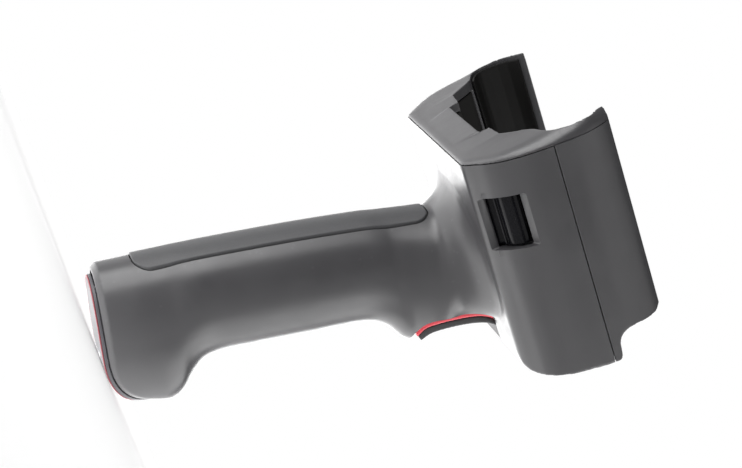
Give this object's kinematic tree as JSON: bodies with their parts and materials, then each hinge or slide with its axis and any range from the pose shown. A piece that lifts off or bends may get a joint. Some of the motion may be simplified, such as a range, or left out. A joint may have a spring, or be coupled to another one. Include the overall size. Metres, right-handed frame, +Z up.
{
  "type": "pistol grip scan handle",
  "caption": "Pistol-grip scan handle with a sprung trigger and a U-shaped latching cradle for a handheld mobile computer.",
  "frame": {"origin": "centre of the cradle floor's top face", "axes": "+X the way the device points, +Y the user's left, +Z up out of the cradle floor"},
  "size_m": [0.0824, 0.09, 0.1742],
  "materials": {
    "housing_plastic": "fine moulded texture, satin",
    "frame_plastic": "fine moulded texture, satin",
    "liner_plastic": "smooth moulded",
    "grip_rubber": "matt soft-touch",
    "pad_rubber": "matt",
    "trigger_red": "satin",
    "trigger_rubber": "matt soft-touch",
    "foot_rubber": "matt",
    "accent_red": "satin",
    "latch_gloss": "polished",
    "inner_nylon": "moulded",
    "board_laminate": "solder mask",
    "ribbon_film": "polyimide film",
    "contact_gold": "gold plated",
    "steel": "zinc plated"
  },
  "bodies": {
    "handle": {"back_strap": "grip_rubber", "board_screw_left": "steel", "board_screw_right": "steel", "carrier_screw_left": "steel", "carrier_screw_right": "steel", "cheek_pad_left": "pad_rubber", "cheek_pad_right": "pad_rubber", "contact_pad_1": "contact_gold", "contact_pad_2": "contact_gold", "contact_pad_3": "contact_gold", "contact_pad_4": "contact_gold", "contact_pad_5": "contact_gold", "contact_pad_6": "contact_gold", "contact_strip": "inner_nylon", "cradle_liner": "liner_plastic", "cradle_screw_1": "steel", "cradle_screw_2": "steel", "cradle_screw_3": "steel", "cradle_screw_4": "steel", "foot_accent": "accent_red", "foot_plate": "foot_rubber", "foot_screw_back": "steel", "foot_screw_front": "steel", "latch_pin_left": "steel", "latch_pin_right": "steel", "latch_spring_left": "steel", "latch_spring_right": "steel", "main_housing": "housing_plastic", "ribbon_cable": "ribbon_film", "rim_screw_left": "steel", "rim_screw_right": "steel", "trigger_board": "board_laminate", "trigger_carrier": "inner_nylon", "trigger_pin": "steel", "trigger_spring": "steel", "trigger_switch": "inner_nylon", "upper_frame": "frame_plastic"},
    "trigger": {"trigger": "trigger_red", "trigger_pad": "trigger_rubber"},
    "plunger": {"switch_plunger": "latch_gloss"},
    "latch_left": {"latch_left": "latch_gloss"},
    "latch_right": {"latch_right": "latch_gloss"}
  },
  "joints": [
    {"name": "trigger_pull", "type": "hinge", "parent": "handle", "child": "trigger", "pos_m": [0.0275, 0, -0.0068], "axis": [0, 1, 0], "range_deg": [0, 6], "stiffness_Nm_per_rad": 0.35, "springref_deg": -5.73, "deforming": ["trigger_spring"]},
    {"name": "switch_press", "type": "slide", "parent": "handle", "child": "plunger", "axis": [-1, 0, 0], "range_m": [0, 0.0009]},
    {"name": "latch_left_rock", "type": "hinge", "parent": "handle", "child": "latch_left", "pos_m": [-0.0182, 0.0348, 0.0012], "axis": [-1, 0, 0], "range_deg": [0, 10], "stiffness_Nm_per_rad": 0.08, "springref_deg": -5.73, "deforming": ["latch_spring_left"]},
    {"name": "latch_right_rock", "type": "hinge", "parent": "handle", "child": "latch_right", "pos_m": [-0.0182, -0.0348, 0.0012], "axis": [1, 0, 0], "range_deg": [0, 10], "stiffness_Nm_per_rad": 0.08, "springref_deg": -5.73, "deforming": ["latch_spring_right"]}
  ],
  "couplings": [
    {"joint": "switch_press", "follows": "trigger_pull", "m_per_rad": 0.0082}
  ]
}
